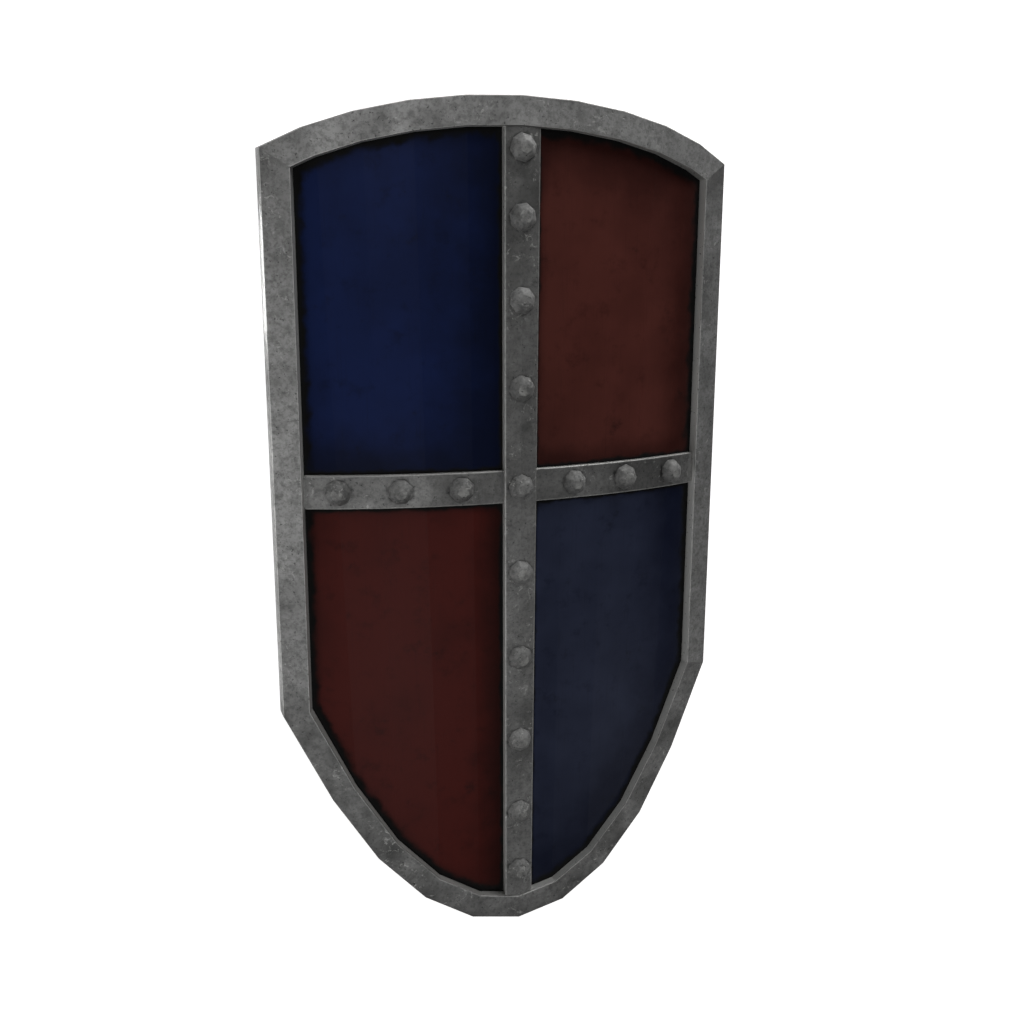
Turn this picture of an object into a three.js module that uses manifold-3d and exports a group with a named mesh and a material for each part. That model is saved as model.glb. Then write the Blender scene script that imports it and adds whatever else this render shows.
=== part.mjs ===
// A heater shield that lies on its back: a painted board of glued staves, an iron rim round
// it, two iron bands crossed over it, and the rivets that hold the bands. Millimetres, +Z up.
// The front faces up, the top edge is toward +Y and the point toward -Y.
import * as THREE from "three";
import { mergeVertices } from "three/addons/utils/BufferGeometryUtils.js";
import Module from "manifold-3d";

const wasm = await Module();
wasm.setup();

const GAP = 0.3; // between pieces that touch in the real shield

// Outline of the front face. The curved edges and the arched section are all made of flats
// that stand at even steps of one angle, so their corners line up across the shield.
const LENGTH = 918;
const TOP_HALF_WIDTH = 250;
const LOWER_HALF_WIDTH = 257.5; // at the lower end of the straight sides
const CROWN = 52; // rise of the top edge from its corners to its middle
const FOOT = 268; // sweep of the foot, from the point to the straight sides
const FOOT_LIFT = 9; // the lower corners stand this much above that sweep
const ARCH = 47; // how far the long sides stand behind the middle
const FLATS = 5; // on each side of the middle
const SPAN = THREE.MathUtils.degToRad(50); // angle that the flats of one side share

// The rim is a heavy U-section that holds the edge of the board.
const RIM_WIDTH = 27.8;
const RIM_DEPTH = 19.5; // outer wall, front to back
const RIM_FLARE = 1.6; // the outer wall leans out toward the back
const RIM_GROOVE = 3.9; // from the outer edge to the bottom of the groove
const RIM_LIP = 22; // width of the back lip

// The board lies in the rim, below its front face. Each flat is one stave, apart from the two
// in the middle, which are one stave with a ridge, so that no rivet sits in a joint.
const RECESS = 10;
const BOARD = 7;
const SIDE_STAVES = FLATS - 1;

// Flat iron bars, laid crosswise. Heights are above the face of the board.
const UPRIGHT_HEIGHT = 8.5;
const UPRIGHT_TOP_WIDTH = 38.2;
const UPRIGHT_FOOT_WIDTH = 32.8;
const CROSSBAR_HEIGHT = 5;
const CROSSBAR_WIDTH = 36;
const CROSSING_Y = 69;

// Forged rivets with eight-sided domed heads, peened over at the back.
const HEAD_SIDES = 8;
const HEAD_RADIUS = 14.3;
const HEAD_HEIGHT = 11.5;
const SHANK_RADIUS = 4;
const PEEN_RADIUS = 6.5;
const PEEN_HEIGHT = 2;
const STEPS_UP = [105, 90, 81, 66]; // from the crossing to the top edge
const STEPS_DOWN = [96, 99, 100, 92, 76]; // from the crossing to the point
const CROSSBAR_PITCH = 64;
const CROSSBAR_RIVETS = 3; // on each side of the crossing

const FACE_Z = ARCH + RIM_DEPTH; // middle of the front face, above what it lies on

/** 0 in the middle of the shield, 1 at the corners: how far the curve has fallen away. */
function fall(flat) {
  const angle = (flat / FLATS) * SPAN;
  return (1 - Math.cos(angle)) / (1 - Math.cos(SPAN));
}

/** Half width of the section at the end of a flat. */
function columnX(flat) {
  return (TOP_HALF_WIDTH * Math.sin((flat / FLATS) * SPAN)) / Math.sin(SPAN);
}

/** Corners of the outline, anticlockwise from the lower left: the foot, then the top edge. */
function outlineCorners() {
  const flats = Array.from({ length: 2 * FLATS + 1 }, (_, k) => k - FLATS);
  const foot = flats.map((flat) => {
    const corner = Math.abs(flat) === FLATS;
    const x = corner ? Math.sign(flat) * LOWER_HALF_WIDTH : columnX(flat);
    return new THREE.Vector2(x, -LENGTH / 2 + FOOT * fall(flat) + (corner ? FOOT_LIFT : 0));
  });
  const top = flats.map((flat) => new THREE.Vector2(columnX(flat), LENGTH / 2 - CROWN * fall(flat)));
  return foot.concat(top.reverse());
}

/** The closed outline moved inward by a distance, each edge staying parallel to itself. */
function inset(corners, distance) {
  const inward = (from, to) => {
    const edge = to.clone().sub(from).normalize();
    return new THREE.Vector2(-edge.y, edge.x);
  };
  return corners.map((corner, k) => {
    const before = inward(corners.at(k - 1), corner);
    const after = inward(corner, corners[(k + 1) % corners.length]);
    const mitre = before.clone().add(after);
    return corner.clone().addScaledVector(mitre, distance / (1 + before.dot(after)));
  });
}

/** Value at t on the line through (t0, a) and (t1, b). */
function lerpAt(t, t0, t1, a, b) {
  return a + ((b - a) * (t - t0)) / (t1 - t0);
}

/** Height on a row of posts {x, z} sorted by x, straight between neighbours. */
function heightOn(posts, x) {
  const last = posts.length - 2;
  const k = Math.min(last, Math.max(0, posts.findIndex((post) => post.x > x) - 1));
  const span = x > posts[last].x ? last : k;
  return lerpAt(x, posts[span].x, posts[span + 1].x, posts[span].z, posts[span + 1].z);
}

const OUTLINE = outlineCorners();
const TOP_CORNER_Y = LENGTH / 2 - CROWN;
const LOWER_CORNER_Y = -LENGTH / 2 + FOOT + FOOT_LIFT;

/** Height of the arched front face, whose outermost flats widen with the straight sides. */
function faceHeight(x, y) {
  const edge = lerpAt(y, TOP_CORNER_Y, LOWER_CORNER_Y, TOP_HALF_WIDTH, LOWER_HALF_WIDTH);
  const posts = Array.from({ length: FLATS + 1 }, (_, flat) => ({
    x: flat === FLATS ? edge : columnX(flat),
    z: FACE_Z - ARCH * fall(flat),
  }));
  return heightOn(posts, Math.abs(x));
}

/** How far the front leans away from upright at x, as an angle about Y. */
function lean(x) {
  const halfAxis = TOP_HALF_WIDTH / Math.sin(SPAN);
  const height = ARCH / (1 - Math.cos(SPAN));
  const across = Math.asin(THREE.MathUtils.clamp(x / halfAxis, -1, 1));
  return Math.atan((height / halfAxis) * Math.tan(across));
}

/** A point moved out of the front face by a distance, or into it by a negative one. */
function lift(point, distance) {
  const angle = lean(point.x);
  const out = new THREE.Vector3(Math.sin(angle), 0, Math.cos(angle));
  return point.clone().addScaledVector(out, distance);
}

function onFace(corner) {
  return new THREE.Vector3(corner.x, corner.y, faceHeight(corner.x, corner.y));
}

/** Row of face points under the top edge of an outline, from left to right. */
function topRow(outline) {
  return outline.slice(2 * FLATS + 1).reverse().map(onFace);
}

function footRow(outline) {
  return outline.slice(0, 2 * FLATS + 1).map(onFace);
}

const WINDOW = inset(OUTLINE, RIM_WIDTH); // inner edge of the rim
const WINDOW_TOP = topRow(WINDOW);
const WINDOW_FOOT = footRow(WINDOW);

/** Face points at height y on the ridges that run from the window's top to its foot. */
function ridgeRow(y) {
  return WINDOW_TOP.map((top, k) => {
    const foot = WINDOW_FOOT[k];
    return top.clone().lerp(foot, (top.y - y) / (top.y - foot.y));
  });
}

/** Face point at (x, y) on the flats between the ridges. */
function onFlats(x, y) {
  return new THREE.Vector3(x, y, heightOn(ridgeRow(y), x));
}

/** Closed geometry from points and triangles, turned so that its faces point outward. */
function closedGeometry(points, triangles) {
  const volume = triangles.reduce((sum, [a, b, c]) => {
    return sum + points[a].dot(points[b].clone().cross(points[c]));
  }, 0);
  const faces = volume > 0 ? triangles : triangles.map(([a, b, c]) => [a, c, b]);
  const geometry = new THREE.BufferGeometry().setFromPoints(points);
  geometry.setIndex(faces.flat());
  return geometry;
}

/** A plate between two skins of points that share one set of triangles. */
function plate(front, back, triangles) {
  const count = front.length;
  const edges = new Map();
  for (const [a, b, c] of triangles) {
    for (const [from, to] of [[a, b], [b, c], [c, a]]) {
      if (!edges.delete(`${to},${from}`)) edges.set(`${from},${to}`, [from, to]);
    }
  }
  const sides = [...edges.values()].flatMap(([from, to]) => [
    [to, from, from + count],
    [to, from + count, to + count],
  ]);
  const behind = triangles.map(([a, b, c]) => [c + count, b + count, a + count]);
  return closedGeometry(front.concat(back), triangles.concat(behind, sides));
}

/** The two triangles of a quad abcd, parted from a to c or from b to d. */
function quadTriangles([a, b, c, d], partedFromA) {
  return partedFromA ? [[a, b, c], [a, c, d]] : [[a, b, d], [b, c, d]];
}

/**
 * Triangles of a grid of points stored row by row, the first row at the top. A twisted cell is
 * parted from its corner nearest the middle column, in the edge that lies further out, so that
 * both halves match and pieces that lie on each other bend along the same lines.
 */
function gridTriangles(rows, columns, middle = (columns - 1) / 2, outerRowBelow = rows) {
  const triangles = [];
  for (let row = 0; row + 1 < rows; row += 1) {
    for (let column = 0; column + 1 < columns; column += 1) {
      const a = row * columns + column;
      const b = a + columns;
      const rightHalf = column >= middle;
      const footRow = row >= outerRowBelow;
      triangles.push(...quadTriangles([a, b, b + 1, a + 1], rightHalf !== footRow));
    }
  }
  return triangles;
}

/** A bar laid on the board: rows of face points, and the levels of its two skins. */
function barGeometry(rows, bottom, top) {
  const base = rows.flat();
  const skin = (level) => base.map((point) => lift(point, level - RECESS));
  return plate(skin(top), skin(bottom), gridTriangles(rows.length, rows[0].length));
}

/** The rim's section swept round the outline, with one mitre at each corner. */
function rimGeometry() {
  const line = (insetBy, depth) => ({
    insetBy,
    points: inset(OUTLINE, insetBy).map((corner) => lift(onFace(corner), -depth)),
  });
  const backEdge = {
    insetBy: -RIM_FLARE,
    points: inset(OUTLINE, -RIM_FLARE).map((corner, k) => {
      return new THREE.Vector3(corner.x, corner.y, onFace(OUTLINE[k]).z - RIM_DEPTH);
    }),
  };
  const section = [
    line(0, 0),
    line(RIM_WIDTH, 0),
    line(RIM_WIDTH, RECESS - GAP),
    line(RIM_GROOVE, RECESS - GAP),
    line(RIM_GROOVE, RECESS + BOARD + GAP),
    line(RIM_LIP, RECESS + BOARD + GAP),
    line(RIM_LIP, RIM_DEPTH),
    backEdge,
  ];
  const corners = OUTLINE.length;
  const triangles = section.flatMap((from, index) => {
    const next = (index + 1) % section.length;
    return OUTLINE.flatMap((corner, k) => {
      const after = (k + 1) % corners;
      const quad = [index * corners + k, next * corners + k, next * corners + after, index * corners + after];
      const outwardFirst = from.insetBy < section[next].insetBy;
      const middleFirst = Math.abs(corner.x) < Math.abs(OUTLINE[after].x);
      return quadTriangles(quad, outwardFirst === middleFirst);
    });
  });
  return closedGeometry(section.flatMap((from) => from.points), triangles);
}

/** Staves of the board, from left to right, with the ridges that each one runs between. */
function staveSpans() {
  const side = Array.from({ length: SIDE_STAVES }, (_, k) => k);
  const left = side.map((k) => ({ name: `stave_left_${SIDE_STAVES - k}`, first: k, last: k + 1 }));
  const middle = { name: "stave_middle", first: SIDE_STAVES, last: 2 * FLATS - SIDE_STAVES };
  const right = side.map((k) => {
    const first = middle.last + k;
    return { name: `stave_right_${k + 1}`, first, last: first + 1 };
  });
  return [...left, middle, ...right];
}

/** One row of a stave's corners, drawn in by half a gap where it meets the next stave. */
function staveRow(row, first, last) {
  const corners = row.slice(first, last + 1);
  const drawn = (corner, toward) => {
    const along = toward.clone().sub(corner);
    return corner.clone().addScaledVector(along, GAP / 2 / along.length());
  };
  if (first > 0) corners[0] = drawn(row[first], row[first + 1]);
  if (last < 2 * FLATS) corners[corners.length - 1] = drawn(row[last], row[last - 1]);
  return corners;
}

/** A stave: flats between two ridges, with a border under the rim at its ends. */
function staveGeometry(first, last) {
  const edge = inset(OUTLINE, RIM_GROOVE + GAP);
  const rows = [
    topRow(edge),
    WINDOW_TOP,
    ridgeRow(CROSSING_Y + CROSSBAR_WIDTH / 2),
    ridgeRow(CROSSING_Y - CROSSBAR_WIDTH / 2),
    WINDOW_FOOT,
    footRow(edge),
  ].map((row) => staveRow(row, first, last));
  const columns = last - first + 1;
  const triangles = gridTriangles(rows.length, columns, FLATS - first, rows.length - 2);
  for (let row = 1; row + 1 < rows.length; row += 1) {
    const left = row * columns;
    const right = left + columns - 1;
    if (first === 0) triangles.push([0, left + columns, left]);
    if (last === 2 * FLATS) triangles.push([columns - 1, right, right + columns]);
  }
  const base = rows.flat();
  const skin = (depth) => base.map((point) => lift(point, -depth));
  return plate(skin(RECESS), skin(RECESS + BOARD), triangles);
}

/** The upright bar: it runs the whole length, bent along the middle ridge. */
function uprightGeometry() {
  const reach = inset(OUTLINE, RIM_WIDTH + GAP);
  const ends = [topRow(reach), footRow(reach)];
  const halfWidth = (y) => {
    return lerpAt(y, ends[0][FLATS].y, ends[1][FLATS].y, UPRIGHT_TOP_WIDTH, UPRIGHT_FOOT_WIDTH) / 2;
  };
  const endRow = (row) => {
    const [middle, next] = [row[FLATS], row[FLATS + 1]];
    const side = halfWidth(middle.y);
    const y = lerpAt(side, middle.x, next.x, middle.y, next.y);
    return [onFlats(-side, y), onFlats(0, middle.y), onFlats(side, y)];
  };
  const row = (y) => [-1, 0, 1].map((side) => onFlats(side * halfWidth(y), y));
  const crossing = [CROSSING_Y + CROSSBAR_WIDTH / 2, CROSSING_Y - CROSSBAR_WIDTH / 2];
  return barGeometry([endRow(ends[0]), ...crossing.map(row), endRow(ends[1])], GAP, UPRIGHT_HEIGHT);
}

/** Rows of the crossbar between two limits in x, with a corner on each ridge. */
function crossbarRows(halfWidth, reachAt) {
  return [CROSSING_Y + halfWidth, CROSSING_Y - halfWidth].map((y) => {
    const reach = reachAt(y);
    const ridges = ridgeRow(y).filter((ridge) => Math.abs(ridge.x) < reach);
    return [onFlats(-reach, y), ...ridges, onFlats(reach, y)];
  });
}

function crossbarGeometry() {
  const sides = inset(OUTLINE, RIM_WIDTH + GAP);
  const [lower, upper] = [sides[2 * FLATS], sides[2 * FLATS + 1]];
  const reachAt = (y) => lerpAt(y, lower.y, upper.y, lower.x, upper.x);
  return barGeometry(crossbarRows(CROSSBAR_WIDTH / 2, reachAt), GAP, CROSSBAR_HEIGHT);
}

/** The room that the upright leaves for the crossbar beneath it. */
function crossingCutter() {
  const rows = crossbarRows(CROSSBAR_WIDTH / 2 + GAP, () => UPRIGHT_TOP_WIDTH);
  return barGeometry(rows, -GAP, CROSSBAR_HEIGHT + GAP);
}

/** Rivet along +Z, its origin on the face of the bar that it holds. */
function rivetGeometry(barHeight) {
  const back = -(barHeight + BOARD) - GAP;
  const profile = [
    [0, back - PEEN_HEIGHT],
    [PEEN_RADIUS * 0.7, back - PEEN_HEIGHT],
    [PEEN_RADIUS, back],
    [SHANK_RADIUS, back],
    [SHANK_RADIUS, GAP],
    [HEAD_RADIUS, GAP],
    [HEAD_RADIUS * 0.8, HEAD_HEIGHT * 0.62],
    [HEAD_RADIUS * 0.38, HEAD_HEIGHT],
    [0, HEAD_HEIGHT],
  ];
  const points = profile.map(([radius, z]) => new THREE.Vector2(radius, z));
  return new THREE.LatheGeometry(points, HEAD_SIDES).rotateX(Math.PI / 2);
}

/** Places of the rivets: which bar each one holds, and where its head sits. */
function rivetPlaces() {
  const walk = (steps, sign) => {
    let y = CROSSING_Y;
    return steps.map((step) => (y += sign * step));
  };
  const uprightYs = [...walk(STEPS_UP, 1).reverse(), CROSSING_Y, ...walk(STEPS_DOWN, -1)];
  const upright = uprightYs.map((y, k) => ({
    name: `upright_rivet_${k + 1}`,
    height: UPRIGHT_HEIGHT,
    seat: onFlats(0, y),
  }));
  const crossbar = [];
  for (let k = -CROSSBAR_RIVETS; k <= CROSSBAR_RIVETS; k += 1) {
    if (k === 0) continue;
    const side = k < 0 ? "left" : "right";
    crossbar.push({
      name: `crossbar_rivet_${side}_${Math.abs(k)}`,
      height: CROSSBAR_HEIGHT,
      seat: onFlats(k * CROSSBAR_PITCH, CROSSING_Y),
    });
  }
  return [...upright, ...crossbar];
}

/** Moves an object to a rivet's place, square to the bar's face. */
function placeRivet(object, place) {
  object.position.copy(lift(place.seat, place.height - RECESS));
  object.rotation.y = lean(place.seat.x);
  object.updateMatrix();
}

function toManifold(geometry) {
  const bare = geometry.clone();
  bare.deleteAttribute("normal");
  bare.deleteAttribute("uv");
  const merged = mergeVertices(bare, 1e-3);
  return new wasm.Manifold(new wasm.Mesh({
    numProp: 3,
    vertProperties: new Float32Array(merged.attributes.position.array),
    triVerts: new Uint32Array(merged.index.array),
  }));
}

function fromManifold(manifold) {
  const mesh = manifold.getMesh();
  const geometry = new THREE.BufferGeometry();
  geometry.setAttribute("position", new THREE.BufferAttribute(mesh.vertProperties, mesh.numProp));
  geometry.setIndex(new THREE.BufferAttribute(mesh.triVerts, 1));
  return geometry;
}

/** A geometry with every rivet's shank hole in it, and any other cutters taken off. */
function drilled(geometry, places, cutters = []) {
  const hole = new THREE.CylinderGeometry(SHANK_RADIUS + GAP, SHANK_RADIUS + GAP, 8 * BOARD, HEAD_SIDES);
  hole.rotateX(Math.PI / 2);
  const holder = new THREE.Object3D();
  const holes = places.map((place) => {
    placeRivet(holder, place);
    return hole.clone().applyMatrix4(holder.matrix);
  });
  const cut = [...holes, ...cutters].reduce((solid, cutter) => {
    return solid.subtract(toManifold(cutter));
  }, toManifold(geometry));
  return fromManifold(cut);
}

const IRON = new THREE.MeshStandardMaterial({ color: 0x6a6a6a, roughness: 0.55, metalness: 0.9 });
const PAINT = new THREE.MeshStandardMaterial({ color: 0x3a1714, roughness: 0.6, metalness: 0 });

function piece(name, geometry, material) {
  const mesh = new THREE.Mesh(geometry, material);
  mesh.name = name;
  return mesh;
}

const places = rivetPlaces();
const onUpright = places.filter((place) => place.height === UPRIGHT_HEIGHT);
const onCrossbar = places.filter((place) => place.seat.y === CROSSING_Y);

const shield = new THREE.Group();
for (const { name, first, last } of staveSpans()) {
  shield.add(piece(name, drilled(staveGeometry(first, last), places), PAINT));
}
shield.add(piece("rim", rimGeometry(), IRON));
shield.add(piece("upright_band", drilled(uprightGeometry(), onUpright, [crossingCutter()]), IRON));
shield.add(piece("cross_band", drilled(crossbarGeometry(), onCrossbar), IRON));
for (const place of places) {
  const rivet = piece(place.name, rivetGeometry(place.height), IRON);
  placeRivet(rivet, place);
  shield.add(rivet);
}

export default shield;
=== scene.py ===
"""A heater shield on a pale floor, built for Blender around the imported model.

The shield lies on its back, front up (+Z), top edge toward +Y. Sizes in the classes are in
millimetres, as on a drawing, and a mesh is turned into metres when it is made.
"""

from __future__ import annotations

import logging
import math
from dataclasses import dataclass, field
from enum import Enum
from functools import lru_cache, partial
from typing import Any, Iterable, Mapping, Sequence

import bpy
from mathutils import Euler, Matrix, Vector, noise

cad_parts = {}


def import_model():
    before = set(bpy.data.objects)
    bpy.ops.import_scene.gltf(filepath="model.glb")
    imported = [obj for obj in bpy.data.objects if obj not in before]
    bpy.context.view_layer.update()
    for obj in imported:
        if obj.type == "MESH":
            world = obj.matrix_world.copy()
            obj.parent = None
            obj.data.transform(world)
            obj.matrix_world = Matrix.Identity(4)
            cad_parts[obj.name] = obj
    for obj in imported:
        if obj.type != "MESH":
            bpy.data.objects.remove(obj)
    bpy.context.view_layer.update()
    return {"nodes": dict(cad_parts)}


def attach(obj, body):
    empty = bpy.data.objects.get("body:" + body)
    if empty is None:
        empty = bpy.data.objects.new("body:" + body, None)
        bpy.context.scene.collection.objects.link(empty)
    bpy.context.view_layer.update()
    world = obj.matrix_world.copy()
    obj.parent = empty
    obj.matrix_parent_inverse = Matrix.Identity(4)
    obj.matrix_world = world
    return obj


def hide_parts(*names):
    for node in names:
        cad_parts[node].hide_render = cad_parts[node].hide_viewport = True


LOG = logging.getLogger("heater_shield")
MM = 0.001
BODY = "root"
PAINTED_WALL_LIGHT = 2.0  # wear value that paints a wall pale, as painted light where the lamps don't reach it; an edge that is only rubbed has up to 1
SMOOTH_TO = 35.0  # largest angle that a bar or the board is shaded smooth over, in degrees


class Slot(Enum):
    """Names of material slots."""

    BOARD = "painted_board"
    RIM = "rim_iron"
    BARS = "bar_iron"
    RIVETS = "rivet_iron"


class Quarter(Enum):
    """Faces of the board that are finished differently. Two quarters are greyed by a painted sheen.
    """

    BLUE = 0
    RED = 1
    BLUE_WITH_SHEEN = 2
    BARE = 3
    RED_WITH_SHEEN = 4


def linear(hex_colour: str) -> tuple[float, float, float, float]:
    """Turns an sRGB colour into the linear colour that a shader takes.

    Args:
        hex_colour: The colour as "#rrggbb".

    Returns:
        Red, green, blue and an alpha of 1.
    """
    channels = [int(hex_colour[k : k + 2], 16) / 255 for k in (1, 3, 5)]
    toned = [c / 12.92 if c <= 0.04045 else ((c + 0.055) / 1.055) ** 2.4 for c in channels]
    return (toned[0], toned[1], toned[2], 1.0)


def add_node(
    tree: bpy.types.NodeTree,
    kind: str,
    inputs: Mapping[int | str, Any] | None = None,
    out: int | str = 0,
    **settings: Any,
) -> Any:
    """Adds a node to a tree with its settings, values and links.

    Args:
        tree: The tree to add to.
        kind: The node's type name.
        inputs: Input sockets by name or index, each with a value or the socket to link from.
        out: The output to hand back, by name or index.
        **settings: Properties of the node.

    Returns:
        The output socket, or the node itself where it has no output.
    """
    node = tree.nodes.new(kind)
    for key, value in settings.items():
        setattr(node, key, value)
    for key, value in (inputs or {}).items():
        if isinstance(value, bpy.types.NodeSocket):
            tree.links.new(value, node.inputs[key])
        else:
            node.inputs[key].default_value = value
    return node.outputs[out] if len(node.outputs) else node


def per_metre(size_mm: float) -> float:
    """Scale of a texture whose pattern repeats about every size_mm."""
    return 1000.0 / size_mm


def clamp(value: float) -> float:
    """The value, held between 0 and 1."""
    return max(0.0, min(1.0, value))


def in_scene(name: str, data: bpy.types.ID) -> bpy.types.Object:
    """Makes an object of a mesh, a lamp or a lens, and puts it in the scene.

    Args:
        name: Name of the object.
        data: What it shows.

    Returns:
        The object.
    """
    made = bpy.data.objects.new(name, data)
    bpy.context.scene.collection.objects.link(made)
    return made


def x_between(low: Vector, high: Vector, y: float) -> float:
    """The x at y on the line from one point to another."""
    return low.x + (high.x - low.x) * (y - low.y) / (high.y - low.y)


def quarter_round(radius: float) -> list[tuple[float, float]]:
    """Points (in from the wall, down from the face) of a rounded edge, from wall to face."""
    angles = [math.pi / 2 * step / 3 for step in range(4)]
    return [(radius * (1 - math.cos(angle)), radius * (1 - math.sin(angle))) for angle in angles]


# ---------------------------------------------------------------- form


@dataclass(frozen=True)
class Form:
    """The arched, faceted form that every piece follows.

    The curved edges and the arch are made of flats at even steps of one angle.
    """

    length: float = 918.0
    top_half_width: float = 250.0
    lower_half_width: float = 257.5
    crown: float = 52.0
    foot: float = 268.0
    foot_lift: float = 9.0
    arch: float = 47.0
    flats: int = 5
    span: float = math.radians(50.0)
    rim_width: float = 27.8
    rim_depth: float = 19.5
    recess: float = 10.0
    board: float = 7.0
    gap: float = 0.3

    @property
    def face_z(self) -> float:
        """Height of the middle of the front face."""
        return self.arch + self.rim_depth

    @property
    def columns(self) -> int:
        """Number of ridges and edges across the board."""
        return 2 * self.flats + 1

    def fall(self, flat: float) -> float:
        """How far the curve has fallen away at a flat's end, from 0 to 1."""
        angle = flat / self.flats * self.span
        return (1 - math.cos(angle)) / (1 - math.cos(self.span))

    def column_x(self, flat: float) -> float:
        """Half width of the section at the end of a flat."""
        angle = flat / self.flats * self.span
        return self.top_half_width * math.sin(angle) / math.sin(self.span)

    @lru_cache(maxsize=None)
    def outline(self) -> list[Vector]:
        """Corners of the front outline.

        Returns:
            The corners in plan, anticlockwise from the lower left.
        """
        foot, top = [], []
        for flat in range(-self.flats, self.flats + 1):
            corner = abs(flat) == self.flats
            x = math.copysign(self.lower_half_width, flat) if corner else self.column_x(flat)
            y = -self.length / 2 + self.foot * self.fall(flat) + (self.foot_lift if corner else 0)
            foot.append(Vector((x, y)))
            y = self.length / 2 - self.crown * self.fall(flat)
            top.append(Vector((self.column_x(flat), y)))
        return foot + top[::-1]

    @lru_cache(maxsize=None)
    def inset(self, distance: float) -> list[Vector]:
        """The outline moved inward, each side staying parallel to itself.

        Args:
            distance: How far, or a negative distance to move it outward.

        Returns:
            Its corners, in the order of the outline's.
        """
        corners = self.outline()
        moved = []
        for k, corner in enumerate(corners):
            into = corner - corners[k - 1]
            out = corners[(k + 1) % len(corners)] - corner
            before = Vector((-into.y, into.x)).normalized()
            after = Vector((-out.y, out.x)).normalized()
            moved.append(corner + (before + after) * (distance / (1 + before.dot(after))))
        return moved

    def face_height(self, x: float, y: float) -> float:
        """Height of the arched front face.

        Args:
            x: Where across the shield.
            y: Where along it.

        Returns:
            The height above the floor.
        """
        corners = self.outline()
        edge = x_between(corners[self.columns - 1], corners[self.columns], y)
        places = [self.column_x(flat) for flat in range(self.flats)] + [edge]
        posts = [
            (place, self.face_z - self.arch * self.fall(flat)) for flat, place in enumerate(places)
        ]
        return height_on(posts, abs(x))

    def lean(self, x: float) -> float:
        """How far the front leans over at x.

        Args:
            x: Where across the shield.

        Returns:
            An angle about Y, in radians.
        """
        half_axis = self.top_half_width / math.sin(self.span)
        height = self.arch / (1 - math.cos(self.span))
        across = math.asin(max(-1.0, min(1.0, x / half_axis)))
        return math.atan(height / half_axis * math.tan(across))

    def out(self, x: float) -> Vector:
        """Unit vector square to the front at x."""
        angle = self.lean(x)
        return Vector((math.sin(angle), 0.0, math.cos(angle)))

    def lift(self, point: Vector, distance: float) -> Vector:
        """A point moved out of the front face, or into it by a negative distance."""
        return point + self.out(point.x) * distance

    def on_face(self, corner: Vector) -> Vector:
        """The point of the front face over a corner of a plan."""
        return Vector((corner.x, corner.y, self.face_height(corner.x, corner.y)))

    @lru_cache(maxsize=None)
    def top_row(self, distance: float) -> list[Vector]:
        """Face points under the top edge of the inset outline, from left to right."""
        return [self.on_face(corner) for corner in self.inset(distance)[self.columns :][::-1]]

    @lru_cache(maxsize=None)
    def foot_row(self, distance: float) -> list[Vector]:
        """Face points over the foot of the inset outline, from left to right."""
        return [self.on_face(corner) for corner in self.inset(distance)[: self.columns]]

    def ridge_row(self, y: float) -> list[Vector]:
        """Face points on the ridges, which run from the window's top to its foot.

        Args:
            y: Where along the shield.

        Returns:
            The points, from left to right.
        """
        row = []
        for top, foot in zip(self.top_row(self.rim_width), self.foot_row(self.rim_width)):
            row.append(top.lerp(foot, (top.y - y) / (top.y - foot.y)))
        return row

    @lru_cache(maxsize=None)
    def ridge_posts(self, y: float) -> list[tuple[float, float]]:
        """Places and heights of the ridges at y."""
        return [(point.x, point.z) for point in self.ridge_row(y)]

    def on_flats(self, x: float, y: float) -> Vector:
        """Face point at x and y on the flats between the ridges."""
        return Vector((x, y, height_on(self.ridge_posts(y), x)))


def height_on(posts: Sequence[tuple[float, float]], x: float) -> float:
    """Height of a line of straight lengths.

    Args:
        posts: Corners (x, z) of the line, sorted by x.
        x: Where to read it.

    Returns:
        The height there.
    """
    last = len(posts) - 2
    k = next((i - 1 for i, post in enumerate(posts) if post[0] > x), last)
    (x0, z0), (x1, z1) = posts[max(0, k)], posts[max(0, k) + 1]
    return z0 + (z1 - z0) * (x - x0) / (x1 - x0)


# ---------------------------------------------------------------- meshes


@dataclass
class Draft:
    """Points and faces of a mesh in millimetres, with what its materials read."""

    points: list[Vector] = field(default_factory=list)
    faces: list[tuple[int, ...]] = field(default_factory=list)
    paints: list[int] = field(default_factory=list)
    sharp: set[frozenset[int]] = field(default_factory=set)
    values: dict[str, list[float]] = field(default_factory=dict)
    face_values: dict[str, list[float]] = field(default_factory=dict)

    def add(self, point: Vector, **values: float) -> int:
        """Adds a point.

        Args:
            point: Where it is.
            **values: What the materials read there, by the names of their attributes.

        Returns:
            Its index.
        """
        self.points.append(point)
        for key, value in values.items():
            self.values.setdefault(key, []).append(value)
        return len(self.points) - 1

    def face(self, corners: Iterable[int], paint: int = 0) -> None:
        """Adds a face, which takes the material at that place."""
        self.faces.append(tuple(corners))
        self.paints.append(paint)

    def finish(
        self, name: str, materials: Sequence[bpy.types.Material], smooth_to: float
    ) -> bpy.types.Object:
        """Makes the mesh object.

        Args:
            name: Name of the piece.
            materials: Materials in the order that the faces number them.
            smooth_to: Largest angle, in degrees, that is shaded smooth.

        Returns:
            The object, at the origin, in metres.
        """
        mesh = bpy.data.meshes.new(name)
        mesh.from_pydata([point * MM for point in self.points], [], self.faces)
        for material in materials:
            mesh.materials.append(material)
        mesh.polygons.foreach_set("material_index", self.paints)
        for key, values in self.values.items():
            mesh.attributes.new(key, "FLOAT", "POINT").data.foreach_set("value", values)
        for key, values in self.face_values.items():
            mesh.attributes.new(key, "FLOAT", "FACE").data.foreach_set("value", values)
        mesh.shade_smooth()
        mesh.set_sharp_from_angle(angle=math.radians(smooth_to))
        for edge in mesh.edges:
            if frozenset(edge.vertices) in self.sharp:
                edge.use_edge_sharp = True
        if mesh.validate():
            raise ValueError(f"{name} has faces that aren't valid")
        return in_scene(name, mesh)


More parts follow.
